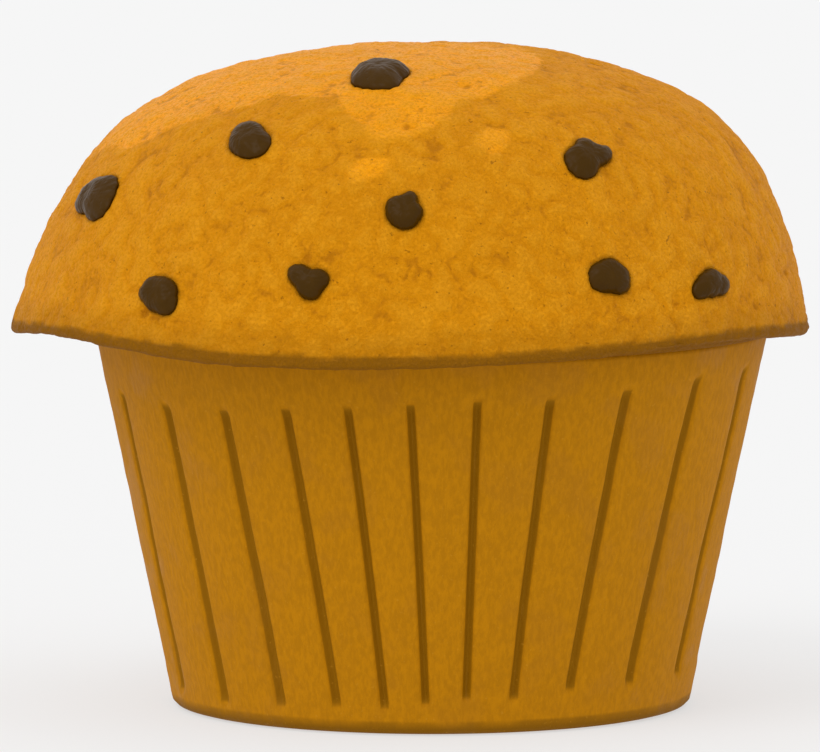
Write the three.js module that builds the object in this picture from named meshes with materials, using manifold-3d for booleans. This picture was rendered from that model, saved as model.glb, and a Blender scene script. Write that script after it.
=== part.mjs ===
// A chocolate-chip muffin in a pleated paper baking case, in millimetres, +Z up.
// The origin is the centre of the case's flat underside. -Y is the front and +X is the right.
// Angles round the muffin are measured from the front, positive towards the right.

import * as THREE from 'three';
import { mergeVertices } from 'three/addons/utils/BufferGeometryUtils.js';
import Module from 'manifold-3d';

// Paper case.
const BASE_DIAMETER = 51;
const WALL_LENGTH = 38;              // measured up the slope
const WALL_LEAN = 11.7;              // degrees from the vertical
const PAPER_THICKNESS = 0.4;
const BASE_CORNER = 1;               // rounding between the floor and the wall
const PLEAT_COUNT = 24;
const PLEAT_DEPTH = 0.8;
const PLEAT_HALF_WIDTH = 0.7;        // half the width of a pleat's valley
const PLEAT_SHOULDER = 0.1;          // how far a valley's edges lie below the middle of a panel
const PLEAT_FLOOR_MARGIN = 2.5;      // smooth paper above the floor
const PLEAT_TOP_MARGIN = 3.2;        // smooth paper below the top edge
const PLEAT_RUN_OUT = 2.5;           // length over which a valley fades at each end
const FIRST_PLEAT = -1.9;            // angle of the first valley, in degrees
const PLEAT_CROWDING_BASE = 0.225;   // how much the pleats crowd at front and back, in radians
const PLEAT_CROWDING_TOP = 0.113;
const PLEAT_SKEW = -0.045;           // sideways lean of the pleats towards the top, in radians

// Muffin: a stump that fills the case, under a wider cap.
const FIT_GAP = 0.3;                 // between the crumb and the paper
const CAP_OVERHANG = 6.15;           // beyond the top edge of the case, all round
const CAP_HEIGHT = 27.9;             // crown above the rim
const RIM_LIFT = 0.1;                // rim above the top edge of the case
const LIP_DEPTH = 0.5;               // how far the lip hangs below the rim
const LIP_WIDTH = 2.2;               // rounded edge of the lip, measured inwards
const LIP_DROOP = 0.8;               // share of the lip's depth at its inner side
const LIP_HUMPS = 4;
const LIP_HUMP_HEIGHT = 1.3;
const LIP_HUMP_REACH = 7;            // height over which the humps die out
const LIP_HUMP_DRIFT = [0.7, 0.78];  // unevenness of the humps round the lip, in radians
const UNDERSIDE_LIFT = 0.15;         // underside of the cap above the case's edge and the gap
const UNDERSIDE_SHELF = 0.8;         // flat of the underside, beyond the edge of the case
const RIM_SHIFT = -2.1;              // sideways shift of the cap, at the rim
const CROWN_SHIFT = -0.3;            // and at the crown
const SIDE_DRAW_IN = 3.6;            // how far the side of the cap leans in
const SIDE_FULLNESS = 0.54;          // shape of the dome's curve: share of its height,
const CROWN_FULLNESS = 0.795;        // and share of its radius

// Chocolate chips.
const CHIP_GAP = 0.3;                // between a chip and its pocket
const CHIP_THICKNESS = 1;            // how far a chip stands out of the crust, and goes into it
const WIDE_CHIP_THICKNESS = 1.3;     // the same for the wide chip
const CHIP_FULLNESS = 2.4;           // roundness of a chip's side: 2 is an ellipse, and more is squarer

// Fineness of the solids.
const SAMPLES_PER_PLEAT = 4;
const SEGMENTS = PLEAT_COUNT * SAMPLES_PER_PLEAT;
const DOME_ROWS = 12;
const CHIP_SEGMENTS = 20;
const CHIP_RINGS = 6;

// Outline of each chip on the crust, as the bumps and hollows round it: [angle in degrees, radius].
// The angle is 0 along the crust and 90 up its slope.
const CHIP_SHAPES = {
  wide: [[15, 2.9], [60, 3.2], [110, 3.2], [160, 2.6], [205, 2.6], [245, 3.6], [300, 4.3], [345, 2.7]],
  block: [[45, 1.8], [140, 2.7], [195, 2], [250, 2.1], [330, 3.2]],
  star: [[15, 3], [45, 2], [75, 2.4], [120, 1.7], [225, 3.1], [310, 1.4]],
  slanted: [[15, 3.7], [90, 2.2], [135, 2.3], [190, 3.6], [265, 1.9], [345, 4.3]],
  round: [[0, 1.8], [30, 1.5], [70, 2.1], [105, 1.6], [150, 1.9], [180, 1.7], [300, 1.9], [330, 1.7]],
  bean: [[15, 2.1], [45, 1.8], [120, 1.7], [180, 2.4], [265, 1.5], [330, 2.4]],
  heart: [[10, 2.1], [75, 1.1], [150, 2.3], [210, 1.4], [295, 1.9], [325, 1.7]],
  crumb: [[0, 2.6], [40, 1.7], [110, 1.4], [150, 1.7], [190, 2.9], [240, 1.3], [290, 1.1]],
  knuckle: [[10, 2.1], [90, 1.8], [180, 2.4], [225, 1.7], [270, 1.7], [330, 2.7]],
};

// Where each chip sits: [angle in degrees, climb, shape, turn in degrees].
// The climb goes up the dome from the rim, 0, to the crown, 1.
const CHIPS = [
  [-15.7, 0.676, 'wide', 0],
  [-35.5, 0.432, 'block', 0],
  [31, 0.391, 'star', 0],
  [-66, 0.277, 'slanted', 0],
  [-2.5, 0.286, 'round', 0],
  [30, 0.153, 'bean', 0],
  [-16, 0.152, 'heart', 0],
  [49.5, 0.122, 'crumb', 0],
  [-40.5, 0.112, 'knuckle', 0],
  [114, 0.17, 'bean', 200],
  [124, 0.44, 'block', 70],
  [145, 0.27, 'round', 150],
  [166, 0.12, 'knuckle', 180],
  [178, 0.53, 'star', 95],
  [189, 0.33, 'heart', 170],
  [209, 0.14, 'bean', 25],
  [224, 0.46, 'crumb', 130],
  [243, 0.27, 'round', 300],
  [249, 0.12, 'block', 215],
];

// Heights and radii that follow from the sizes above.
const wallLean = THREE.MathUtils.degToRad(WALL_LEAN);
const baseRadius = BASE_DIAMETER / 2;
const wallTop = WALL_LENGTH * Math.cos(wallLean);
const topRadius = baseRadius + WALL_LENGTH * Math.sin(wallLean);
const paperWidth = PAPER_THICKNESS / Math.cos(wallLean);
const crumbInset = paperWidth + FIT_GAP;
const rimHeight = wallTop + RIM_LIFT;
const rimRadius = topRadius + CAP_OVERHANG;
const undersideHeight = wallTop + FIT_GAP + UNDERSIDE_LIFT;
const shelfRadius = topRadius + UNDERSIDE_SHELF;

// The dome's half profile, as radius and height above the rim.
const dome = new THREE.CubicBezierCurve(
  new THREE.Vector2(rimRadius, 0),
  new THREE.Vector2(rimRadius - SIDE_DRAW_IN, CAP_HEIGHT * SIDE_FULLNESS),
  new THREE.Vector2(rimRadius * CROWN_FULLNESS, CAP_HEIGHT),
  new THREE.Vector2(0, CAP_HEIGHT),
);

const crust = new THREE.MeshStandardMaterial({ color: '#cc8300', roughness: 0.75, metalness: 0 });
const paper = new THREE.MeshStandardMaterial({ color: '#b27500', roughness: 0.85, metalness: 0 });
const chocolate = new THREE.MeshStandardMaterial({ color: '#472f00', roughness: 0.45, metalness: 0 });

function aroundAxis(radius, angle, height) {
  return new THREE.Vector3(radius * Math.sin(angle), -radius * Math.cos(angle), height);
}

// Radius of the outside of the case wall, where no pleat is.
function wallRadius(height) {
  return baseRadius + height * Math.tan(wallLean);
}

// Share of the full pleat depth at a height.
function pleatStrength(height) {
  const low = (height - PLEAT_FLOOR_MARGIN) / PLEAT_RUN_OUT;
  const high = (wallTop - PLEAT_TOP_MARGIN - height) / PLEAT_RUN_OUT;
  return THREE.MathUtils.clamp(Math.min(low, high), 0, 1);
}

// Angle of a pleat's valley. The pleats crowd together at the front and back, more so at the base.
// They also lean one way at the front and back, and the other way at the sides.
function valleyAngle(pleat, height) {
  const even = THREE.MathUtils.degToRad(FIRST_PLEAT) + (pleat * 2 * Math.PI) / PLEAT_COUNT;
  const rise = height / wallTop;
  const crowding = THREE.MathUtils.lerp(PLEAT_CROWDING_BASE, PLEAT_CROWDING_TOP, rise);
  return even - crowding * Math.sin(2 * even) + PLEAT_SKEW * rise * Math.cos(2 * even);
}

// Angle of a sample: the valley, its far edge, the middle of the panel, then the next valley's near edge.
function sampleAngle(sample, height) {
  const pleat = Math.floor(sample / SAMPLES_PER_PLEAT);
  const here = valleyAngle(pleat, height);
  const next = valleyAngle(pleat + 1, height);
  const edge = PLEAT_HALF_WIDTH / wallRadius(height);
  return [here, here + edge, (here + next) / 2, next - edge][sample % SAMPLES_PER_PLEAT];
}

// A point of the pleated wall, its floor or the crumb behind it.
function pleatedPoint(point, sample) {
  const dip = [PLEAT_DEPTH, PLEAT_SHOULDER, 0, PLEAT_SHOULDER][sample % SAMPLES_PER_PLEAT];
  const radius = point.x - dip * pleatStrength(point.y);
  return aroundAxis(radius, sampleAngle(sample, point.y), point.y);
}

// Rise of the lip round the cap: soft humps, unevenly spaced.
function lipRise(angle) {
  const drift = LIP_HUMP_DRIFT[0] * Math.cos(angle) - LIP_HUMP_DRIFT[1] * Math.sin(2 * angle);
  return (LIP_HUMP_HEIGHT * (1 - Math.cos(LIP_HUMPS * angle + drift))) / 2;
}

// A point of the cap, moved by the cap's lean and by the lip's humps.
function capPoint(radius, angle, height) {
  const climb = Math.max(0, height - rimHeight);
  const lean = THREE.MathUtils.lerp(RIM_SHIFT, CROWN_SHIFT, climb / CAP_HEIGHT);
  const fade = 1 - THREE.MathUtils.smoothstep(climb, 0, LIP_HUMP_REACH);
  const point = aroundAxis(radius, angle, height + fade * lipRise(angle));
  point.x += lean;
  return point;
}

// A point on the crust at an angle and a climb from the rim, 0, to the crown, 1.
function crustPoint(angle, climb) {
  const point = dome.getPointAt(climb);
  return capPoint(point.x, angle, rimHeight + point.y);
}

// A lathed solid whose points are placed by a function of profile point, point number and sample.
function lathedSolid(profile, place) {
  const geometry = new THREE.LatheGeometry(profile, SEGMENTS);
  const position = geometry.attributes.position;
  for (let i = 0; i < position.count; i += 1) {
    const number = i % profile.length;
    const sample = Math.floor(i / profile.length) % SEGMENTS;
    const point = place(profile[number], number, sample);
    position.setXYZ(i, point.x, point.y, point.z);
  }
  return weld(geometry);
}

// Joins shared vertices and drops the triangles that closed up on the axis.
function weld(geometry) {
  geometry.deleteAttribute('normal');
  geometry.deleteAttribute('uv');
  const welded = mergeVertices(geometry, 1e-4);
  const index = welded.index.array;
  const kept = [];
  for (let i = 0; i < index.length; i += 3) {
    const [a, b, c] = [index[i], index[i + 1], index[i + 2]];
    if (a !== b && b !== c && c !== a) kept.push(a, b, c);
  }
  welded.setIndex(kept);
  return welded;
}

// Profile of the outside of the wall, from the floor's edge upwards, moved inwards by an inset.
function wallProfile(inset, floorHeight) {
  const corner = BASE_CORNER * Math.SQRT1_2;
  const foot = wallRadius(BASE_CORNER) - inset;
  const pleatEnd = wallTop - PLEAT_TOP_MARGIN;
  const heights = [
    PLEAT_FLOOR_MARGIN,
    PLEAT_FLOOR_MARGIN + PLEAT_RUN_OUT / 2,
    PLEAT_FLOOR_MARGIN + PLEAT_RUN_OUT,
    wallTop / 2,
    pleatEnd - PLEAT_RUN_OUT,
    pleatEnd - PLEAT_RUN_OUT / 2,
    pleatEnd,
  ];
  return [
    new THREE.Vector2(foot - BASE_CORNER, floorHeight),
    new THREE.Vector2(foot - BASE_CORNER + corner, floorHeight + BASE_CORNER - corner),
    new THREE.Vector2(wallRadius(floorHeight + BASE_CORNER) - inset, floorHeight + BASE_CORNER),
    ...heights.map((height) => new THREE.Vector2(wallRadius(height) - inset, height)),
  ];
}

function makePaperCase() {
  const profile = [
    new THREE.Vector2(0, 0),
    ...wallProfile(0, 0),
    new THREE.Vector2(topRadius, wallTop),
    new THREE.Vector2(topRadius - paperWidth, wallTop),
    ...wallProfile(paperWidth, PAPER_THICKNESS).reverse(),
    new THREE.Vector2(0, PAPER_THICKNESS),
  ];
  return lathedSolid(profile, (point, number, sample) => pleatedPoint(point, sample));
}

function makeBakedBody() {
  const stump = [
    new THREE.Vector2(0, PAPER_THICKNESS + FIT_GAP),
    ...wallProfile(crumbInset, PAPER_THICKNESS + FIT_GAP),
    new THREE.Vector2(wallRadius(undersideHeight) - crumbInset, undersideHeight),
    new THREE.Vector2(shelfRadius, undersideHeight),
  ];
  const lip = [
    new THREE.Vector2(rimRadius - LIP_WIDTH, rimHeight - LIP_DEPTH * LIP_DROOP),
    new THREE.Vector2(rimRadius - LIP_DEPTH, rimHeight - LIP_DEPTH),
  ];
  const crown = [];
  for (let row = 0; row <= DOME_ROWS; row += 1) {
    const point = dome.getPointAt(row / DOME_ROWS);
    crown.push(new THREE.Vector2(row === DOME_ROWS ? 0 : point.x, rimHeight + point.y));
  }
  return lathedSolid([...stump, ...lip, ...crown], (point, number, sample) => {
    if (number < stump.length) return pleatedPoint(point, sample);
    return capPoint(point.x, sampleAngle(sample, wallTop), point.y);
  });
}

// The chip's own axes on the crust: along it, up its slope and out of it.
function crustFrame(angle, climb, turn) {
  const step = 1e-3;
  const origin = crustPoint(angle, climb);
  const along = crustPoint(angle + step, climb).sub(origin).normalize();
  const slope = crustPoint(angle, climb + step).sub(origin);
  const outward = new THREE.Vector3().crossVectors(along, slope).normalize();
  const upward = new THREE.Vector3().crossVectors(outward, along);
  const frame = new THREE.Matrix4().makeBasis(along, upward, outward).setPosition(origin);
  return frame.multiply(new THREE.Matrix4().makeRotationZ(THREE.MathUtils.degToRad(turn)));
}

// Radius of a chip's outline at an angle, smoothly between its bumps and hollows.
function outlineRadius(outline, angle) {
  const first = outline[0][0];
  const degrees = THREE.MathUtils.euclideanModulo(THREE.MathUtils.radToDeg(angle) - first, 360);
  const number = outline.findLastIndex(([place]) => place - first <= degrees);
  const [start, radius] = outline[number];
  const [end, nextRadius] = outline[(number + 1) % outline.length];
  const gap = THREE.MathUtils.euclideanModulo(end - start, 360);
  const share = THREE.MathUtils.smoothstep(degrees + first - start, 0, gap);
  return THREE.MathUtils.lerp(radius, nextRadius, share);
}

// A chip as one solid: a ball pushed out to the chip's outline, and flattened to its thickness.
// A margin grows it to the pocket that holds it.
function chipGeometry(chip, margin) {
  const [angle, climb, shapeName, turn] = chip;
  const thickness = (shapeName === 'wide' ? WIDE_CHIP_THICKNESS : CHIP_THICKNESS) + margin;
  const geometry = new THREE.SphereGeometry(1, CHIP_SEGMENTS, CHIP_RINGS).rotateX(Math.PI / 2);
  const position = geometry.attributes.position;
  const direction = new THREE.Vector3();
  for (let i = 0; i < position.count; i += 1) {
    direction.fromBufferAttribute(position, i).normalize();
    const radius = outlineRadius(CHIP_SHAPES[shapeName], Math.atan2(direction.y, direction.x)) + margin;
    const side = Math.hypot(direction.x, direction.y) / radius;
    const rise = Math.abs(direction.z) / thickness;
    direction.divideScalar((side ** CHIP_FULLNESS + rise ** CHIP_FULLNESS) ** (1 / CHIP_FULLNESS));
    position.setXYZ(i, direction.x, direction.y, direction.z);
  }
  geometry.applyMatrix4(crustFrame(THREE.MathUtils.degToRad(angle), climb, turn));
  return weld(geometry);
}

function toSolid(geometry) {
  return new wasm.Manifold(new wasm.Mesh({
    numProp: 3,
    vertProperties: new Float32Array(geometry.attributes.position.array),
    triVerts: new Uint32Array(geometry.index.array),
  }));
}

function toGeometry(solid) {
  const mesh = solid.getMesh();
  const geometry = new THREE.BufferGeometry();
  geometry.setAttribute('position', new THREE.BufferAttribute(new Float32Array(mesh.vertProperties), 3));
  geometry.setIndex(new THREE.BufferAttribute(new Uint32Array(mesh.triVerts), 1));
  geometry.computeVertexNormals();
  return geometry;
}

function namedMesh(name, geometry, material) {
  const mesh = new THREE.Mesh(geometry, material);
  mesh.name = name;
  return mesh;
}

const wasm = await Module();
wasm.setup();

const muffin = new THREE.Group();
muffin.add(namedMesh('paper_case', makePaperCase(), paper));

let baked = toSolid(makeBakedBody());
CHIPS.forEach((chip, number) => {
  baked = baked.subtract(toSolid(chipGeometry(chip, CHIP_GAP)));
  const name = `chocolate_chip_${String(number + 1).padStart(2, '0')}`;
  muffin.add(namedMesh(name, chipGeometry(chip, 0), chocolate));
});
muffin.add(namedMesh('muffin', toGeometry(baked), crust));

export default muffin;
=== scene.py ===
"""A chocolate-chip muffin in a pleated paper case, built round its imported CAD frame.

Lengths are in millimetres and become metres where a mesh is made. Angles round the muffin are
measured from the front, -Y, and grow towards the right, +X.
"""

import math

import bmesh
import bpy
import numpy as np
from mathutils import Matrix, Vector, noise
from mathutils.bvhtree import BVHTree


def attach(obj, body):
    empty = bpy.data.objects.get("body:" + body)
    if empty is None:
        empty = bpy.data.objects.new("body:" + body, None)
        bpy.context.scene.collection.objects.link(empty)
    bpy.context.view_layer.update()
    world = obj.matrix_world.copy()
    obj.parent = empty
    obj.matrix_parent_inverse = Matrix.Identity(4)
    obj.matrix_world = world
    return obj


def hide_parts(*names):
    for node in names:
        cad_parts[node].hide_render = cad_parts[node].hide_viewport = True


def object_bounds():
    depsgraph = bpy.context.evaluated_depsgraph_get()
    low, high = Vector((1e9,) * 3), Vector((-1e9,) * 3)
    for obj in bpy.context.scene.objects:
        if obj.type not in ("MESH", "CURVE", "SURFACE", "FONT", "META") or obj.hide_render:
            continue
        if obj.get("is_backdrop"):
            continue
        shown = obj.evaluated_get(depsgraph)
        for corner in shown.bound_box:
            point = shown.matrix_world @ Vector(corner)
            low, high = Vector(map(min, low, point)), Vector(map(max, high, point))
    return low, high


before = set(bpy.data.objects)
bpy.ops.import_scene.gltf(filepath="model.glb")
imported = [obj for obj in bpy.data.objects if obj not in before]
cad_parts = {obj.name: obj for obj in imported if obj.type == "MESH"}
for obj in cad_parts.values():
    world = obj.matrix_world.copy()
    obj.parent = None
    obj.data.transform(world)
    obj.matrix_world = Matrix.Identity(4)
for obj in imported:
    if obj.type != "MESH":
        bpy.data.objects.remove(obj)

CAD_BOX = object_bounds()
MM = 0.001


# ---------------------------------------------------------------- sizes from the frame

def cad_points(node):
    """The corners of a CAD node's mesh, in millimetres."""
    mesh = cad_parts[node].data
    corners = np.empty(len(mesh.vertices) * 3)
    mesh.vertices.foreach_get("co", corners)
    return corners.reshape(-1, 3) / MM


def widest(points, height):
    """The largest distance from the axis among the points at about a height."""
    level = points[np.abs(points[:, 2] - height) < 0.05]
    return np.hypot(level[:, 0], level[:, 1]).max()


CASE = cad_points("paper_case")
BAKED = cad_points("muffin")
WALL_TOP = CASE[:, 2].max()
BASE_CORNER = 1.0
FOOT_RADIUS = widest(CASE, BASE_CORNER)
TOP_RADIUS = widest(CASE, WALL_TOP)
RIM_RADIUS = np.ptp(BAKED[:, 0]) / 2
RIM_SHIFT = (BAKED[:, 0].max() + BAKED[:, 0].min()) / 2
RIM_LIFT = 0.1
RIM_HEIGHT = WALL_TOP + RIM_LIFT
CAP_HEIGHT = BAKED[:, 2].max() - RIM_HEIGHT
CHIP_NODES = sorted(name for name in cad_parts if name.startswith("chocolate_chip"))

# ---------------------------------------------------------------- shape of the muffin and its case

CROWN_SHIFT = -0.3
SIDE_DRAW_IN = 3.6
SIDE_FULLNESS = 0.54
CROWN_FULLNESS = 0.795
LIP_HUMPS = 4
LIP_HUMP_HEIGHT = 1.3
LIP_HUMP_REACH = 7.0
LIP_HUMP_DRIFT = (0.7, 0.78)
# Rounded edge of the lip, as steps out and up from the rim.
LIP_PROFILE = [(-0.04, -0.15), (-0.14, -0.3), (-0.3, -0.43), (-0.5, -0.5), (-0.9, -0.52), (-1.5, -0.47),
               (-2.2, -0.4)]
SHELF_RADIUS = TOP_RADIUS + 0.8
SHELF_HEIGHT = WALL_TOP + 0.08
STUMP_INSET = 1.6
STUMP_BOTTOM = 0.7
CROWN_RINGS = 156
UNDERSIDE_RINGS = 6
CROWN_MAP_SHARE = 0.84      # share of the bake map's radius that the crown takes
LOWER_MAP_SHARE = 0.15      # and what lies under it
CRUST_DRAW_IN = 0.12        # keeps the crust's relief centred on the plain dome

PLEATS = 24
FIRST_PLEAT = math.radians(-1.9)
PLEAT_CROWDING_BASE = 0.225
PLEAT_CROWDING_TOP = 0.113
PLEAT_SKEW = -0.045
PLEAT_DEPTH = 0.7
PLEAT_HALF_WIDTH = 0.72
PLEAT_LINE_HALF_WIDTH = 0.44
PLEAT_WIDTH_FRONT = 0.88    # share of those widths at the front and back, where the pleats crowd
PLEAT_WIDTH_SIDE = 1.5
PLEAT_START = 3.2
PLEAT_END = 32.7
PLEAT_START_TILT = 1.1      # rise of the valleys' lower ends from the axis to the right side
PLEAT_END_TILT = 1.4
PLEAT_LENGTH_SPREAD = 0.2
PANEL_BULGE = 0.12
PAPER_THICKNESS = 0.4

# Painted highlight on the crown, a paler and glossier area of crust, seen from above: [x, y, half width,
# half depth, turn in degrees].
PAINTED_HIGHLIGHT_LOBES = [
    (-14.0, -4.0, 18.0, 14.0, 0),
    (-9.8, -16.2, 6.0, 4.2, -20),
    (-3.2, -19.0, 5.8, 9.6, 0),
    (0.6, -8.6, 10.0, 13.8, 0),
    (-5.5, -30.7, 2.2, 1.1, 4),
    (6.0, -27.7, 1.6, 1.0, 35),
]


def smooth_step(low, high, value):
    share = np.clip((value - low) / (high - low), 0, 1)
    return share * share * (3 - 2 * share)


def field(points, size, octaves=2, seed=0):
    """Fractal noise at points, with lumps of about a size in millimetres."""
    shift = np.array([seed * 13.7, seed * 7.1, seed * 3.3])
    return np.array([noise.fractal(place, 1.0, 2.0, octaves) for place in points / size + shift])


def puffs(points, size, octaves=2, seed=0):
    """Rounded bumps of about a size, from -1 in the creases between them to 1 on their tops."""
    shift = np.array([seed * 13.7, seed * 7.1, seed * 3.3])
    rough = np.array([noise.turbulence(place, octaves, True) for place in points / size + shift])
    return np.clip(rough / 0.28 - 1, -1, 1.4)


# ---------------------------------------------------------------- mesh helpers

def vertex_normals(points, triangles):
    corner = points[triangles]
    across = np.cross(corner[:, 1] - corner[:, 0], corner[:, 2] - corner[:, 0])
    normals = np.zeros_like(points)
    for i in range(3):
        np.add.at(normals, triangles[:, i], across)
    return normals / np.maximum(np.linalg.norm(normals, axis=1, keepdims=True), 1e-12)


def make_piece(name, points, faces, material, node, attributes=None, bake_map=None):
    """A smooth mesh piece that stands for a CAD node."""
    mesh = bpy.data.meshes.new(name)
    mesh.from_pydata((points * MM).tolist(), [], faces)
    mesh.shade_smooth()
    for key, values in (attributes or {}).items():
        mesh.attributes.new(key, "FLOAT", "POINT").data.foreach_set("value", values.astype(np.float32))
    if bake_map is not None:
        corner = np.empty(len(mesh.loops), int)
        mesh.loops.foreach_get("vertex_index", corner)
        mesh.uv_layers.new(name="OFBake").data.foreach_set("uv", bake_map[corner].ravel())
    mesh.materials.append(material)
    piece = bpy.data.objects.new(name, mesh)
    bpy.context.scene.collection.objects.link(piece)
    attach(piece, "root")
    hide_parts(node)
    return piece


# ---------------------------------------------------------------- material helpers

def linear(code):
    """The linear colour of an sRGB hex code."""
    parts = [int(code[i:i + 2], 16) / 255 for i in (0, 2, 4)]
    return [p / 12.92 if p <= 0.04045 else ((p + 0.055) / 1.055) ** 2.4 for p in parts] + [1.0]


class Shader:
    """A node material with short calls for the nodes that this scene uses."""

    def __init__(self, name):
        self.material = bpy.data.materials.new(name)
        self.material.use_nodes = True
        self.tree = self.material.node_tree
        self.surface = self.tree.nodes["Principled BSDF"]
        self.place = self.node("ShaderNodeTexCoord").outputs["Object"]

    def node(self, kind, **settings):
        made = self.tree.nodes.new(kind)
        for key, value in settings.items():
            setattr(made, key, value)
        return made

    def put(self, socket, value):
        if isinstance(value, bpy.types.NodeSocket):
            self.tree.links.new(value, socket)
        else:
            socket.default_value = value

    def noise(self, size, detail=3.0, roughness=0.55, stretch=None):
        """Noise with lumps of about a size in millimetres, from 0 to 1."""
        made = self.node("ShaderNodeTexNoise")
        made.inputs["Scale"].default_value = 1 / (size * MM)
        made.inputs["Detail"].default_value = detail
        made.inputs["Roughness"].default_value = roughness
        source = self.place
        if stretch:
            mapping = self.node("ShaderNodeMapping")
            mapping.inputs["Scale"].default_value = stretch
            self.put(mapping.inputs["Vector"], self.place)
            source = mapping.outputs["Vector"]
        self.put(made.inputs["Vector"], source)
        return made.outputs["Fac"]

    def cells(self, size):
        made = self.node("ShaderNodeTexVoronoi")
        made.inputs["Scale"].default_value = 1 / (size * MM)
        self.put(made.inputs["Vector"], self.place)
        return made.outputs["Distance"]

    def attribute(self, name):
        return self.node("ShaderNodeAttribute", attribute_name=name).outputs["Fac"]

    def spread(self, value, low, high, to_low=0.0, to_high=1.0):
        """Maps a value from one range to another, smoothly and without overrun."""
        made = self.node("ShaderNodeMapRange", interpolation_type="SMOOTHSTEP")
        self.put(made.inputs["Value"], value)
        for key, number in zip(("From Min", "From Max", "To Min", "To Max"), (low, high, to_low, to_high)):
            made.inputs[key].default_value = number
        return made.outputs["Result"]

    def math(self, operation, first, second):
        made = self.node("ShaderNodeMath", operation=operation)
        self.put(made.inputs[0], first)
        self.put(made.inputs[1], second)
        return made.outputs["Value"]

    def mix(self, share, first, second, blend="MIX"):
        made = self.node("ShaderNodeMix", data_type="RGBA", blend_type=blend)
        self.put(made.inputs["Factor"], share)
        self.put(made.inputs["A"], first)
        self.put(made.inputs["B"], second)
        return made.outputs["Result"]

    def bump(self, height, strength, distance):
        made = self.node("ShaderNodeBump")
        made.inputs["Strength"].default_value = strength
        made.inputs["Distance"].default_value = distance * MM
        self.put(made.inputs["Height"], height)
        self.put(self.surface.inputs["Normal"], made.outputs["Normal"])

    def finish(self, colour, roughness, **uniform):
        self.put(self.surface.inputs["Base Color"], colour)
        self.put(self.surface.inputs["Roughness"], roughness)
        for key, value in uniform.items():
            self.surface.inputs[key.replace("_", " ")].default_value = value
        return self.material


# ---------------------------------------------------------------- materials

def crust_material():
    """Golden crust: a painted highlight on a glossier area of the crown, painted shade in the crumb's
    hollows and pits with painted highlight on its tops, a browned lip, toasted specks and fine open grain.
    """
    s = Shader("crust")
    gloss_and_painted_highlight = s.attribute("gloss_and_painted_highlight")
    browned = s.attribute("browned")
    relief = s.attribute("relief")
    # painted highlight: the crown's paler area is painted lighter; its lower roughness further down is real
    # gloss
    colour = s.mix(gloss_and_painted_highlight, linear("dc8e00"), linear("f9a103"))
    broad = s.spread(s.noise(8.0), 0.4, 0.65)
    colour = s.mix(s.math("MULTIPLY", broad, 0.14), colour, linear("b87000"))
    # painted shade in the crumb's hollows and pits, then painted highlight on its raised tops
    hollow_shade = s.spread(relief, 0.45, 0.12)
    colour = s.mix(s.math("MULTIPLY", hollow_shade, 0.5), colour, linear("a05c00"))
    raised = s.spread(relief, 0.55, 0.9)
    colour = s.mix(s.math("MULTIPLY", raised, 0.3), colour, linear("eaa11a"))
    grain = s.spread(s.noise(0.32, 4.0, 0.65), 0.36, 0.64)
    colour = s.mix(s.math("MULTIPLY", s.spread(grain, 0.5, 0.0), 0.3), colour, linear("a86400"))
    specks = s.spread(s.noise(0.5, 2.0), 0.67, 0.74)
    colour = s.mix(s.math("MULTIPLY", specks, 0.55), colour, linear("7c4600"))
    colour = s.mix(browned, colour, linear("8c5900"))
    pores = s.spread(s.cells(0.8), 0.1, 0.5)
    s.bump(s.math("ADD", grain, pores), 0.8, 0.1)
    rough = s.spread(grain, 0.0, 1.0, 0.8, 0.6)
    rough = s.math("SUBTRACT", rough, s.math("MULTIPLY", gloss_and_painted_highlight, 0.2))
    return s.finish(colour, rough, Specular_IOR_Level=0.09)


def paper_material():
    """Brown greaseproof paper with painted shade along the creases, fibres and faint grease mottling."""
    s = Shader("paper")
    crease_shade = s.attribute("crease_shade")
    fold_toast_and_shade = s.attribute("fold_toast_and_shade")
    fibre = s.noise(0.45, 4.0, 0.65, (1.0, 1.0, 0.4))
    colour = s.mix(s.spread(fibre, 0.35, 0.65), linear("bb7b00"), linear("ae7200"))
    grease = s.spread(s.noise(6.5, 2.0), 0.5, 0.68)
    colour = s.mix(s.math("MULTIPLY", grease, 0.2), colour, linear("9c6400"))
    # painted shade along the pleats' valley lines
    colour = s.mix(crease_shade, colour, linear("936200"))
    # the base fold's darker band: partly toasted paper, partly painted contact shade
    colour = s.mix(fold_toast_and_shade, colour, linear("865800"))
    flecks = s.spread(s.noise(0.35, 1.0), 0.7, 0.78)
    colour = s.mix(s.math("MULTIPLY", flecks, 0.3), colour, linear("cc9128"))
    s.bump(s.spread(fibre, 0.3, 0.7), 0.5, 0.06)
    rough = s.spread(grease, 0.0, 1.0, 0.75, 0.58)
    return s.finish(colour, rough, Specular_IOR_Level=0.09)


def chocolate_material():
    """Dark chocolate, softly shining, with a faint dull bloom and small pits."""
    s = Shader("chocolate")
    bloom = s.spread(s.noise(1.3), 0.5, 0.8)
    colour = s.mix(s.math("MULTIPLY", bloom, 0.22), linear("422a00"), linear("573904"))
    pits = s.spread(s.cells(0.55), 0.05, 0.35)
    s.bump(s.math("ADD", s.noise(0.3, 3.0), pits), 0.3, 0.07)
    rough = s.spread(bloom, 0.0, 1.0, 0.34, 0.5)
    return s.finish(colour, rough, Specular_IOR_Level=0.08)


# ---------------------------------------------------------------- chocolate chips

CHIP_SWELL = 0.05           # how far a chip stands outside its CAD shape
CHIP_LEVELS = 3             # times that a chip's faces are split to round it
CHIP_FITS = 3               # steps that bring the rounded chip back through its own corners


def mesh_points(mesh):
    points = np.empty(len(mesh.vertices) * 3)
    mesh.vertices.foreach_get("co", points)
    return points.reshape(-1, 3)


def rounded(cage):
    """The mesh of a cage with its subdivision applied."""
    cage.data.update()
    bpy.context.view_layer.update()
    return bpy.data.meshes.new_from_object(cage.evaluated_get(bpy.context.evaluated_depsgraph_get()))


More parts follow.
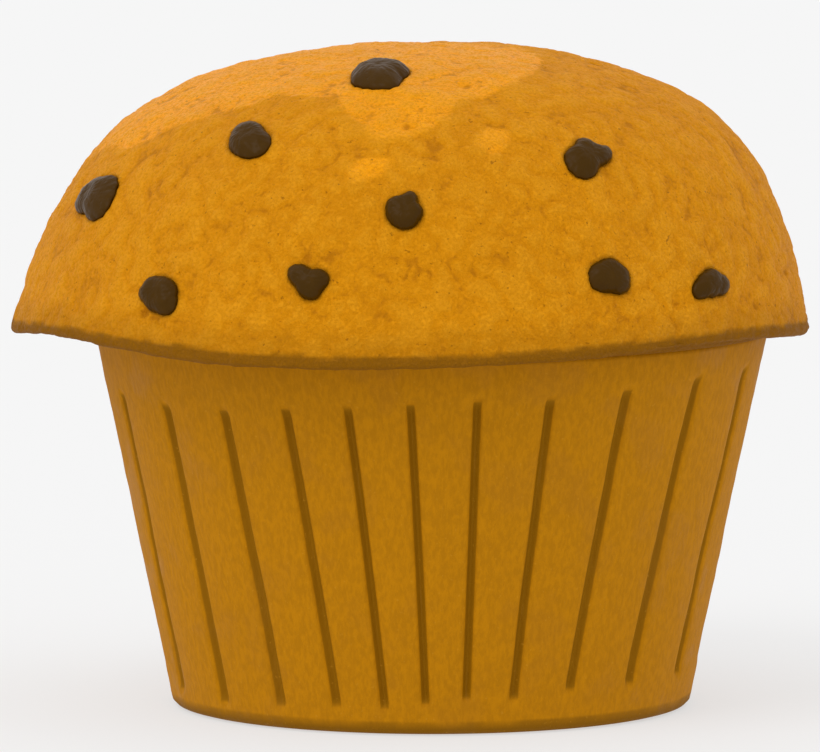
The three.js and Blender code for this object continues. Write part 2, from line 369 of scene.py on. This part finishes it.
def fine_chip(node):
    """Points and faces of a CAD chip: rounded through its own corners, swollen and softly pitted."""
    shape = bmesh.new()
    shape.from_mesh(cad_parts[node].data)
    bmesh.ops.remove_doubles(shape, verts=shape.verts, dist=1e-6)
    mesh = bpy.data.meshes.new(node + "_cage")
    shape.to_mesh(mesh)
    shape.free()
    cage = bpy.data.objects.new(node + "_cage", mesh)
    bpy.context.scene.collection.objects.link(cage)
    cage.modifiers.new("round", "SUBSURF").levels = CHIP_LEVELS
    corners = mesh_points(mesh)
    for _ in range(CHIP_FITS):
        missed = corners - mesh_points(rounded(cage))[:len(corners)]
        mesh.vertices.foreach_set("co", (mesh_points(mesh) + 0.8 * missed).ravel())
    fine = rounded(cage)
    bpy.data.objects.remove(cage)
    points = mesh_points(fine) / MM
    faces = [tuple(p.vertices) for p in fine.polygons]
    quads = np.array(faces)
    normals = vertex_normals(points, np.vstack([quads[:, :3], quads[:, [0, 2, 3]]]))
    swell = CHIP_SWELL + 0.09 * field(points, 1.5, 2, 5) + 0.03 * field(points, 0.45, 2, 6)
    return points + normals * swell[:, None], faces


# ---------------------------------------------------------------- muffin

def dome_curve():
    """The dome's half profile as share of its length, radius and rise."""
    knots = np.array([
        (RIM_RADIUS, 0),
        (RIM_RADIUS - SIDE_DRAW_IN, CAP_HEIGHT * SIDE_FULLNESS),
        (RIM_RADIUS * CROWN_FULLNESS, CAP_HEIGHT),
        (0, CAP_HEIGHT),
    ])
    t = np.linspace(0, 1, 2001)[:, None]
    curve = (1 - t) ** 3 * knots[0] + 3 * (1 - t) ** 2 * t * knots[1]
    curve += 3 * (1 - t) * t ** 2 * knots[2] + t ** 3 * knots[3]
    length = np.concatenate([[0], np.cumsum(np.hypot(*np.diff(curve, axis=0).T))])
    return length / length[-1], curve[:, 0], curve[:, 1]


def lip_rise(angle):
    drift = LIP_HUMP_DRIFT[0] * np.cos(angle) - LIP_HUMP_DRIFT[1] * np.sin(2 * angle)
    return LIP_HUMP_HEIGHT * (1 - np.cos(LIP_HUMPS * angle + drift)) / 2


def cap_ring(radius, angle, rise, weight=1.0):
    """A ring of the cap, moved by its lean and its lip's humps. Weight brings both in under the lip."""
    climb = max(0.0, rise)
    lean = RIM_SHIFT + (CROWN_SHIFT - RIM_SHIFT) * climb / CAP_HEIGHT
    fade = 1 - smooth_step(0, LIP_HUMP_REACH, climb)
    return np.column_stack([
        radius * np.sin(angle) + weight * lean,
        -radius * np.cos(angle),
        RIM_HEIGHT + rise + weight * fade * lip_rise(angle),
    ])


def wall_radius(height):
    return FOOT_RADIUS + (TOP_RADIUS - FOOT_RADIUS) * (height - BASE_CORNER) / (WALL_TOP - BASE_CORNER)


def crown_rings():
    """Rings of the crown: one point, then 6, 12, 18..., each with its place on the bake map."""
    share, radius, rise = dome_curve()
    rings = []
    for j in range(CROWN_RINGS + 1):
        count = max(1, 6 * j)
        angle = 2 * np.pi * np.arange(count) / count
        climb = 1 - j / CROWN_RINGS
        ring = cap_ring(np.interp(climb, share, radius), angle, np.interp(climb, share, rise))
        rings.append((ring, CROWN_MAP_SHARE * j / CROWN_RINGS))
    return rings


def lower_rings():
    """Rings of the lip, the underside and the stump, as many points each as the crown's last ring."""
    angle = 2 * np.pi * np.arange(6 * CROWN_RINGS) / (6 * CROWN_RINGS)
    lower = [(RIM_RADIUS + out, up, 1.0) for out, up in LIP_PROFILE]
    start = lower[-1]
    for i in range(1, UNDERSIDE_RINGS + 1):
        t = i / UNDERSIDE_RINGS
        lower.append((start[0] + (SHELF_RADIUS - start[0]) * t,
                      start[1] + (SHELF_HEIGHT - RIM_HEIGHT - start[1]) * t, 1 - smooth_step(0, 1, t)))
    stump = [(wall_radius(WALL_TOP) - STUMP_INSET, SHELF_HEIGHT)]
    stump += [(wall_radius(h) - STUMP_INSET, h) for h in (WALL_TOP * 0.66, WALL_TOP * 0.33, 3.0, 1.6)]
    stump.append((wall_radius(STUMP_BOTTOM) - STUMP_INSET - BASE_CORNER, STUMP_BOTTOM))
    lower += [(r, h - RIM_HEIGHT, 0.0) for r, h in stump]
    return [(cap_ring(r, angle, up, weight), CROWN_MAP_SHARE + LOWER_MAP_SHARE * (i + 1) / len(lower))
            for i, (r, up, weight) in enumerate(lower)]


def ring_faces(counts):
    """Triangles that join rings of 1, 6, 12... points and then rings of equal count, closed by a fan."""
    start = np.concatenate([[0], np.cumsum(counts)])
    found = []
    for j, (near, far) in enumerate(zip(counts[:-1], counts[1:])):
        a, b = start[j], start[j + 1]
        if near == far:
            k = np.arange(near)
            n = (k + 1) % near
            found += [np.column_stack([a + k, b + k, b + n]), np.column_stack([a + k, b + n, a + n])]
            continue
        inner = near // 6
        outer = far // 6
        for side in range(6):
            i = np.arange(outer)
            near_i = a + (side * inner + i) % near
            far_i = b + side * outer + i
            found.append(np.column_stack([near_i, far_i, b + (side * outer + i + 1) % far]))
            i = np.arange(inner)
            found.append(np.column_stack([a + side * inner + i, b + side * outer + i + 1,
                                          a + (side * inner + i + 1) % near]))
    last = start[-2]
    k = np.arange(counts[-1])
    hub = np.full(counts[-1], start[-1])
    found.append(np.column_stack([last + k, hub, last + (k + 1) % counts[-1]]))
    return np.vstack(found)


def painted_highlight_share(points):
    """Share of the painted highlight, a paler and glossier area of crust, at each point, with a wavering
    edge.
    """
    best = np.full(len(points), -99.0)
    for x, y, width, depth, turn in PAINTED_HIGHLIGHT_LOBES:
        c, s = math.cos(math.radians(turn)), math.sin(math.radians(turn))
        dx, dy = points[:, 0] - x, points[:, 1] - y
        reach = np.hypot((c * dx + s * dy) / width, (c * dy - s * dx) / depth)
        best = np.maximum(best, (1 - reach) * min(width, depth))
    edge = field(points, 4.0, 3, 11)
    behind = smooth_step(-8, 4, points[:, 1])
    soft = 0.3 + 2.5 * behind
    return smooth_step(-soft, soft, best + (0.7 + 2 * behind) * edge)


def browned_share(points):
    """Share of browned crust at each point: full under the lip, and faint a little above it."""
    angle = np.arctan2(points[:, 0], -points[:, 1])
    rise = points[:, 2] - RIM_HEIGHT
    above = rise - lip_rise(angle) * (1 - smooth_step(0, LIP_HUMP_REACH, np.maximum(rise, 0)))
    edge = 0.25 * field(points, 2.2, 3, 21) + 0.1 * field(points, 0.7, 2, 22)
    full = 1 - smooth_step(0.6, 1.25, above + edge)
    faint = 1 - smooth_step(1.0, 4.5, above + 3 * edge)
    return np.maximum(full, 0.3 * faint)


def crust_pits(points):
    """Depth of the small scattered pits, from 0 to 1."""
    pits = np.zeros(len(points))
    for i, place in enumerate(points / 2.6):
        reach, centres = noise.voronoi(place)
        if noise.cell(centres[0] * 7.3) > 0.75:
            pits[i] = max(0.0, 1 - (reach[0] / 0.3) ** 2)
    return pits


def crust_relief(points):
    """How far the crust stands out, and its fine part from 0 to 1, which the crust's colour turns into
    painted shade in hollows and painted highlight on tops.
    """
    lumps = 0.26 * field(points, 14.0, 2, 1)
    billow = field(points, 4.6, 2, 2)
    crumb = puffs(points, 2.4, 3, 3)
    pits = crust_pits(points)
    fine = np.clip(0.5 + 0.38 * crumb + 0.2 * billow - 0.45 * pits, 0, 1)
    return lumps + 0.16 * billow + 0.1 * crumb - 0.28 * pits - CRUST_DRAW_IN, fine


def seat_chips(points, normals, chips):
    """Presses a pocket under each chip and raises a small lip of crust round it."""
    stain = np.zeros(len(points))
    for chip_points, chip_faces in chips:
        tree = BVHTree.FromPolygons([Vector(p) for p in chip_points], chip_faces)
        middle = chip_points.mean(0)
        reach = np.linalg.norm(chip_points - middle, axis=1).max() + 1.2
        for i in np.flatnonzero(np.linalg.norm(points - middle, axis=1) < reach):
            place = Vector(points[i])
            down = -Vector(normals[i])
            hit, normal, _, away = tree.find_nearest(place)
            if (place - hit).dot(normal) < 0:
                floor = tree.ray_cast(place, down)[3]
                points[i] += np.array(down) * (min((floor or 0.0) + 0.06, 1.4 * away) - 0.04)
                stain[i] = 1
                continue
            raised = 0.16 * math.exp(-(away / 0.6) ** 2) - 0.12 * math.exp(-(away / 0.2) ** 2)
            points[i] -= np.array(down) * raised
            stain[i] = max(stain[i], math.exp(-(away / 0.22) ** 2))
    return stain


def muffin_bake_map(rings):
    """A flat map of the muffin: its crown in the middle, and its stump round the outside."""
    counts = [len(ring) for ring, _ in rings]
    flat = np.concatenate([np.full(count, place) for count, (_, place) in zip(counts, rings)] + [[1.0]])
    turn = np.concatenate([2 * np.pi * np.arange(count) / count for count in counts] + [[0.0]])
    return 0.5 + 0.495 * np.column_stack([flat * np.sin(turn), -flat * np.cos(turn)])


def make_muffin(chips):
    rings = crown_rings() + lower_rings()
    counts = [len(ring) for ring, _ in rings]
    points = np.vstack([ring for ring, _ in rings] + [np.array([[0, 0, STUMP_BOTTOM]])])
    faces = ring_faces(counts)
    dome_count = sum(counts[:CROWN_RINGS + 1])
    lip_count = sum(counts[:CROWN_RINGS + 1 + len(LIP_PROFILE)])
    relief = np.zeros(len(points))
    fine = np.full(len(points), 0.5)
    relief[:lip_count], fine[:lip_count] = crust_relief(points[:lip_count])
    relief[dome_count:lip_count] *= 0.5
    browned = browned_share(points)
    # share of the painted highlight on the crown, which is also glossier crust
    gloss_and_painted_highlight = painted_highlight_share(points)
    points = points + vertex_normals(points, faces) * relief[:, None]
    stain = seat_chips(points, vertex_normals(points, faces), chips)
    # the fine relief feeds the crust's painted shade in hollows and painted highlight on tops
    attributes = {"gloss_and_painted_highlight": gloss_and_painted_highlight, "browned": np.maximum(browned, 0.6 * stain), "relief": fine}
    make_piece("baked_muffin", points, faces.tolist(), crust_material(), "muffin", attributes,
               muffin_bake_map(rings))


# ---------------------------------------------------------------- paper case

# Every valley is at about its full depth between the two full heights, and gone above the top.
PLEAT_FULL_BOTTOM = 5.4
PLEAT_FULL_TOP = 30.3
PLEAT_TOP = 35.1

# Columns of a pleat, as distances from its valley line, and how many more cross the panel.
VALLEY_COLUMNS = [0, 0.13, 0.27, 0.4, 0.48, 0.59, 0.74]
PANEL_COLUMNS = 11


def valley_angle(pleat, height):
    even = FIRST_PLEAT + pleat * 2 * np.pi / PLEATS
    rise = height / WALL_TOP
    crowding = PLEAT_CROWDING_BASE + (PLEAT_CROWDING_TOP - PLEAT_CROWDING_BASE) * rise
    return even - crowding * np.sin(2 * even) + PLEAT_SKEW * rise * np.cos(2 * even)


def pleat_columns():
    """Each column of the wall: its pleat, its distance from the valley line and its share of the panel."""
    edge = VALLEY_COLUMNS[-1]
    columns = [(0, d, 0.0) for d in VALLEY_COLUMNS]
    columns += [(0, edge, i / (PANEL_COLUMNS + 1)) for i in range(1, PANEL_COLUMNS + 1)]
    columns += [(1, -d, 1.0) for d in reversed(VALLEY_COLUMNS[1:])]
    return [(pleat + step, pleat, d, share) for pleat in range(PLEATS) for step, d, share in columns]


def valley_width(pleat):
    side = math.sin(FIRST_PLEAT + pleat * 2 * math.pi / PLEATS) ** 2
    return PLEAT_WIDTH_FRONT + (PLEAT_WIDTH_SIDE - PLEAT_WIDTH_FRONT) * side


def column_angle(column, height):
    nearest, pleat, distance, share = column
    radius = wall_radius(height)
    if share in (0.0, 1.0):
        return valley_angle(nearest, height) + distance * valley_width(nearest) / radius
    edge = VALLEY_COLUMNS[-1] / radius
    low = valley_angle(pleat, height) + edge * valley_width(pleat)
    high = valley_angle(pleat + 1, height) - edge * valley_width(pleat + 1)
    return low + (high - low) * share


def pleat_ends(pleat):
    """Where a pleat's valley starts and ends: higher towards the right, and a little different for each."""
    number = pleat % PLEATS
    side = math.sin(FIRST_PLEAT + number * 2 * math.pi / PLEATS)
    start = PLEAT_START + PLEAT_START_TILT * side + PLEAT_LENGTH_SPREAD * math.sin(number * 2.4)
    end = PLEAT_END + PLEAT_END_TILT * side + PLEAT_LENGTH_SPREAD * math.sin(number * 1.7 + 1)
    return start, end


def wall_heights():
    """Row heights, closer where the valleys start and end."""
    low = np.linspace(1.15, PLEAT_FULL_BOTTOM, 17)
    middle = np.linspace(PLEAT_FULL_BOTTOM + 0.5, PLEAT_FULL_TOP - 0.5, 36)
    high = np.linspace(PLEAT_FULL_TOP, PLEAT_TOP, 19)
    top = np.linspace(PLEAT_TOP + 0.5, WALL_TOP, 4)
    return np.concatenate([low, middle, high, top])


def between(start, end, run_out, height):
    """1 between two heights and 0 outside them, over a run-out on each side."""
    return min(smooth_step(start - run_out, start + run_out, height),
               1 - smooth_step(end - run_out, end + run_out, height))


def case_ring(columns, height, inset):
    """A ring of the wall at a height, with the share of painted shade along the creases at each point."""
    angle = np.array([column_angle(c, height) for c in columns])
    dip, crease_shade = [], []
    for nearest, pleat, distance, share in columns:
        start, end = pleat_ends(nearest if share in (0.0, 1.0) else pleat)
        live = between(start, end, 0.9, height)
        drawn = between(start, end, 0.15, height)
        if share in (0.0, 1.0):
            away = abs(distance)
            valley = PLEAT_DEPTH * (1 + math.cos(math.pi * min(1.0, away / PLEAT_HALF_WIDTH))) / 2
            dip.append(live * (valley + PANEL_BULGE))
            # painted shade along the valley line, where the pleat folds in
            crease_shade.append(drawn * (away < PLEAT_LINE_HALF_WIDTH))
        else:
            dip.append(live * PANEL_BULGE * (1 - math.sin(math.pi * share)))
            crease_shade.append(0.0)
    radius = wall_radius(height) - inset - np.array(dip)
    ring = np.column_stack([radius * np.sin(angle), -radius * np.cos(angle), np.full(len(columns), height)])
    return ring, np.array(crease_shade)


def floor_ring(columns, radius, height):
    angle = np.array([column_angle(c, BASE_CORNER) for c in columns])
    return np.column_stack([radius * np.sin(angle), -radius * np.cos(angle), np.full(len(columns), height)])


def base_rings(columns):
    """Rings of the case's underside, out to its rounded edge."""
    flat = FOOT_RADIUS - BASE_CORNER
    rings = [floor_ring(columns, share * flat, 0) for share in (0.3, 0.7, 0.97, 1.0)]
    for turn in (30, 60):
        t = math.radians(turn)
        rings.append(floor_ring(columns, FOOT_RADIUS - BASE_CORNER * (1 - math.sin(t)),
                                BASE_CORNER * (1 - math.cos(t))))
    return rings


def inside_rings(columns):
    """Rings of the case's inside, from its top edge down to its floor."""
    heights = (WALL_TOP, *np.linspace(PLEAT_TOP, PLEAT_FULL_TOP, 7), 18.0,
               *np.linspace(PLEAT_FULL_BOTTOM, 1.8, 5))
    rings = [case_ring(columns, height, PAPER_THICKNESS)[0] for height in heights]
    flat = FOOT_RADIUS - PAPER_THICKNESS - BASE_CORNER * (1 - math.sqrt(0.5))
    return rings + [floor_ring(columns, share * flat, PAPER_THICKNESS) for share in (0.97, 0.5)]


def case_faces(ring_count, count):
    """Quads between the case's rings, and a fan to close each end."""
    k = np.arange(count)
    n = (k + 1) % count
    quads = [np.column_stack([a + k, a + n, a + count + n, a + count + k])
             for a in range(0, (ring_count - 1) * count, count)]
    last = (ring_count - 1) * count
    bottom = ring_count * count
    faces = np.vstack(quads).tolist()
    faces += [[bottom, int(j), int(i)] for i, j in zip(k, n)]
    faces += [[bottom + 1, last + int(i), last + int(j)] for i, j in zip(k, n)]
    return faces


def crumpled(points):
    """The case's points, moved in and out a little above its base."""
    outward = np.column_stack([points[:, 0], points[:, 1], np.zeros(len(points))])
    outward /= np.maximum(np.linalg.norm(outward, axis=1, keepdims=True), 1e-6)
    wall = smooth_step(0.8, 3.0, points[:, 2])
    crumple = 0.11 * field(points * [1, 1, 0.6], 6.0, 2, 31) + 0.04 * field(points, 1.8, 2, 32)
    return points + outward * (wall * crumple)[:, None]


def fold_toast_and_shade_share(points):
    """Share of the darker band round the case's base fold at each point: partly toasted paper, partly
    painted contact shade.
    """
    fold_toast_and_shade = 1 - smooth_step(0.95, 1.35, points[:, 2] + 0.12 * field(points, 3.0, 2, 33))
    radius = np.hypot(points[:, 0], points[:, 1])
    return fold_toast_and_shade * smooth_step(FOOT_RADIUS - 1.7, FOOT_RADIUS - BASE_CORNER, radius)


def case_bake_map(ring_count, count):
    """A flat map of the case: its underside in the middle, and its inside round the outside."""
    reach = (np.arange(ring_count) + 1) / (ring_count + 1)
    turn = 2 * np.pi * np.arange(count) / count
    rings = [np.column_stack([r * np.sin(turn), -r * np.cos(turn)]) for r in reach]
    return 0.5 + 0.49 * np.vstack(rings + [np.zeros((2, 2))])


def make_case():
    columns = pleat_columns()
    count = len(columns)
    base = base_rings(columns)
    wall = [case_ring(columns, height, 0) for height in wall_heights()]
    outside = base + [ring for ring, _ in wall]
    rings = outside + inside_rings(columns)
    points = crumpled(np.vstack(rings + [np.array([[0, 0, 0], [0, 0, PAPER_THICKNESS]])]))
    crease_shade = np.zeros(len(points))
    crease_shade[len(base) * count:len(outside) * count] = np.concatenate([drawn for _, drawn in wall])
    # darker band along the base fold: partly toasted paper, partly painted contact shade
    fold_toast_and_shade = fold_toast_and_shade_share(points)
    fold_toast_and_shade[len(outside) * count:] = 0
    attributes = {"crease_shade": crease_shade, "fold_toast_and_shade": fold_toast_and_shade}
    make_piece("pleated_case", points, case_faces(len(rings), count), paper_material(),
               "paper_case", attributes, case_bake_map(len(rings), count))


# ---------------------------------------------------------------- stage

ELEVATION = math.radians(6.0)
DISTANCE = 1200.0
AIM = (-2.1, 0.0, 32.3)
VIEW_WIDTH = 80.89          # what the picture's width spans at the aim
SENSOR_WIDTH = 36.0


def make_camera(scene):
    camera = bpy.data.objects.new("camera", bpy.data.cameras.new("camera"))
    back = Vector((0, -math.cos(ELEVATION), math.sin(ELEVATION)))
    camera.location = (Vector(AIM) + back * DISTANCE) * MM
    camera.rotation_euler = back.to_track_quat("Z", "Y").to_euler()
    camera.data.sensor_width = SENSOR_WIDTH
    camera.data.lens = SENSOR_WIDTH * DISTANCE / VIEW_WIDTH
    camera.data.clip_end = 50
    scene.collection.objects.link(camera)
    scene.camera = camera


def make_floor(scene):
    """A white floor that glows a little, so that it stays pale close to the case."""
    mesh = bpy.data.meshes.new("floor")
    half, low = 3.0, -1e-4
    corners = [(-half, -half, low), (half, -half, low), (half, half, low), (-half, half, low)]
    mesh.from_pydata(corners, [], [(0, 1, 2, 3)])
    floor = bpy.data.objects.new("floor", mesh)
    pale = Shader("floor")
    glow = {"Emission_Color": (1, 1, 1, 1), "Emission_Strength": 0.572}
    mesh.materials.append(pale.finish((0.32, 0.32, 0.32, 1), 0.9, Specular_IOR_Level=0.0, **glow))
    scene.collection.objects.link(floor)
    floor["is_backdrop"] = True


def make_light(scene):
    """A white surround and one soft light from the front, high on the left."""
    world = bpy.data.worlds.new("studio")
    scene.world = world
    world.use_nodes = True
    sky = world.node_tree.nodes["Background"].inputs
    sky["Color"].default_value = (1, 1, 1, 1)
    sky["Strength"].default_value = 0.95
    sun = bpy.data.objects.new("key", bpy.data.lights.new("key", "SUN"))
    sun.data.energy = 0.6
    sun.data.angle = math.radians(30)
    sun.rotation_euler = (math.radians(42), 0, math.radians(-38))
    scene.collection.objects.link(sun)


def make_stage():
    scene = bpy.context.scene
    make_camera(scene)
    make_floor(scene)
    make_light(scene)
    scene.view_settings.view_transform = "Standard"


# ---------------------------------------------------------------- build

make_stage()
chocolate = chocolate_material()
chips = []
for number, node in enumerate(CHIP_NODES, 1):
    chip_points, chip_faces = fine_chip(node)
    chips.append((chip_points, chip_faces))
    make_piece(f"chip_{number:02d}", chip_points, chip_faces, chocolate, node)
make_muffin(chips)
make_case()

boxes = {"cad": CAD_BOX, "visual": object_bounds()}
boxes = {name: [[float(v) for v in corner] for corner in box] for name, box in boxes.items()}
